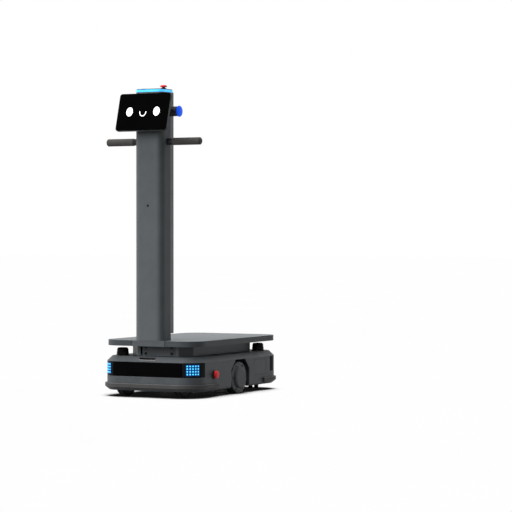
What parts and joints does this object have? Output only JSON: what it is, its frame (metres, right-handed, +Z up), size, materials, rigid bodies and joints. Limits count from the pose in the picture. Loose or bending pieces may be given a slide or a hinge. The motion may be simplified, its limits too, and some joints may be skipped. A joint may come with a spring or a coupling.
{
  "type": "autonomous mobile robot",
  "caption": "Low two-wheel-drive mobile robot base with a lifting deck, and at its front a tall column with a handle bar, light ring, stop buttons and a tilting screen.",
  "frame": {"origin": "middle of the footprint box on the floor; the drive axle lies 32.9 mm behind it", "axes": "+Z up, front faces -Y, +X to the side with the round push button"},
  "size_m": [0.549, 0.9218, 1.4285],
  "materials": {
    "casing_plastic": "fine moulded texture",
    "painted_sheet": "fine texture powder coat",
    "cover_paint": "powder coat",
    "gloss_black": "polished",
    "lamp_black": "polished",
    "light_diffuser": "frosted, lit",
    "black_plastic": "moulded",
    "housing_grey": "satin",
    "bumper_rubber": "moulded",
    "grip_rubber": "moulded",
    "tyre": "worn matte",
    "caster_tread": "moulded",
    "red_plastic": "moulded",
    "blue_plastic": "translucent",
    "bright_steel": "ground",
    "frame_steel": "powder coat",
    "cast_aluminium": "anodised"
  },
  "bodies": {
    "chassis": {"antenna_puck": "black_plastic", "battery_pack": "cast_aluminium", "body_shell": "casing_plastic", "bracket_bolts": "bright_steel", "button_barrel": "black_plastic", "caster_mounts": "bright_steel", "chassis_frame": "frame_steel", "column_bracket": "painted_sheet", "column_cap": "black_plastic", "column_cover": "cover_paint", "column_foot": "painted_sheet", "column_lens": "gloss_black", "column_shell": "painted_sheet", "column_spine": "frame_steel", "control_unit": "black_plastic", "corner_lamps": "lamp_black", "display_bracket": "frame_steel", "drive_brackets": "frame_steel", "drive_motor_left": "cast_aluminium", "drive_motor_right": "cast_aluminium", "estop_bezels": "black_plastic", "front_bumper": "bumper_rubber", "front_sensor_strip": "black_plastic", "front_window": "gloss_black", "grip_left": "grip_rubber", "grip_right": "grip_rubber", "handle_bar": "bright_steel", "handle_collars": "black_plastic", "lidar_front_left": "gloss_black", "lidar_rear_right": "gloss_black", "lift_actuator": "cast_aluminium", "lift_frame": "painted_sheet", "lift_guides": "bright_steel", "light_ring": "light_diffuser", "rear_bumper": "bumper_rubber", "rear_window": "gloss_black", "service_cover": "casing_plastic"},
    "lift": {"lift_deck": "painted_sheet", "deck_frame": "frame_steel", "lift_rods": "bright_steel"},
    "drive_wheel_right": {"drive_tyre_right": "tyre", "drive_hub_right": "cast_aluminium", "hub_cap_right": "black_plastic"},
    "drive_wheel_left": {"drive_tyre_left": "tyre", "drive_hub_left": "cast_aluminium", "hub_cap_left": "black_plastic"},
    "caster_front_left": {"caster_fork_front_left": "bright_steel"},
    "caster_roll_front_left": {"caster_wheel_front_left": "caster_tread"},
    "caster_front_right": {"caster_fork_front_right": "bright_steel"},
    "caster_roll_front_right": {"caster_wheel_front_right": "caster_tread"},
    "caster_rear_left": {"caster_fork_rear_left": "bright_steel"},
    "caster_roll_rear_left": {"caster_wheel_rear_left": "caster_tread"},
    "caster_rear_right": {"caster_fork_rear_right": "bright_steel"},
    "caster_roll_rear_right": {"caster_wheel_rear_right": "caster_tread"},
    "display": {"display_housing": "housing_grey", "display_glass": "gloss_black"},
    "top_stop": {"top_estop_head": "red_plastic"},
    "side_stop_right": {"side_estop_right": "red_plastic"},
    "side_stop_left": {"side_estop_left": "red_plastic"},
    "button": {"push_button": "blue_plastic"}
  },
  "joints": [
    {"name": "deck_lift", "type": "slide", "parent": "chassis", "child": "lift", "axis": [0, 0, 1], "range_m": [0, 0.05]},
    {"name": "drive_right", "type": "hinge", "parent": "chassis", "child": "drive_wheel_right", "pos_m": [0.223, 0.0329, 0.075], "axis": [1, 0, 0], "continuous": true},
    {"name": "drive_left", "type": "hinge", "parent": "chassis", "child": "drive_wheel_left", "pos_m": [-0.223, 0.0329, 0.075], "axis": [1, 0, 0], "continuous": true},
    {"name": "swivel_front_left", "type": "hinge", "parent": "chassis", "child": "caster_front_left", "pos_m": [-0.15, -0.2951, 0.0817], "axis": [0, 0, 1], "continuous": true},
    {"name": "roll_front_left", "type": "hinge", "parent": "caster_front_left", "child": "caster_roll_front_left", "pos_m": [-0.162, -0.31589, 0.0375], "axis": [0.866, -0.5, 0], "continuous": true},
    {"name": "swivel_front_right", "type": "hinge", "parent": "chassis", "child": "caster_front_right", "pos_m": [0.15, -0.2951, 0.0817], "axis": [0, 0, 1], "continuous": true},
    {"name": "roll_front_right", "type": "hinge", "parent": "caster_front_right", "child": "caster_roll_front_right", "pos_m": [0.138, -0.31589, 0.0375], "axis": [0.866, -0.5, 0], "continuous": true},
    {"name": "swivel_rear_left", "type": "hinge", "parent": "chassis", "child": "caster_rear_left", "pos_m": [-0.15, 0.3609, 0.0817], "axis": [0, 0, 1], "continuous": true},
    {"name": "roll_rear_left", "type": "hinge", "parent": "caster_rear_left", "child": "caster_roll_rear_left", "pos_m": [-0.1609, 0.38228, 0.0375], "axis": [0.891, 0.454, 0], "continuous": true},
    {"name": "swivel_rear_right", "type": "hinge", "parent": "chassis", "child": "caster_rear_right", "pos_m": [0.15, 0.3609, 0.0817], "axis": [0, 0, 1], "continuous": true},
    {"name": "roll_rear_right", "type": "hinge", "parent": "caster_rear_right", "child": "caster_roll_rear_right", "pos_m": [0.1391, 0.38228, 0.0375], "axis": [0.891, 0.454, 0], "continuous": true},
    {"name": "display_tilt", "type": "hinge", "parent": "chassis", "child": "display", "pos_m": [0, -0.41282, 1.2953], "axis": [1, 0, 0], "range_deg": [0, 20]},
    {"name": "top_stop_press", "type": "slide", "parent": "chassis", "child": "top_stop", "axis": [0, 0, -1], "range_m": [0, 0.004], "stiffness_N_per_m": 1200},
    {"name": "side_stop_right_press", "type": "slide", "parent": "chassis", "child": "side_stop_right", "axis": [-1, 0, 0], "range_m": [0, 0.004], "stiffness_N_per_m": 1200},
    {"name": "side_stop_left_press", "type": "slide", "parent": "chassis", "child": "side_stop_left", "axis": [1, 0, 0], "range_m": [0, 0.004], "stiffness_N_per_m": 1200},
    {"name": "button_press", "type": "slide", "parent": "chassis", "child": "button", "axis": [-1, 0, 0], "range_m": [0, 0.0035], "stiffness_N_per_m": 800}
  ]
}
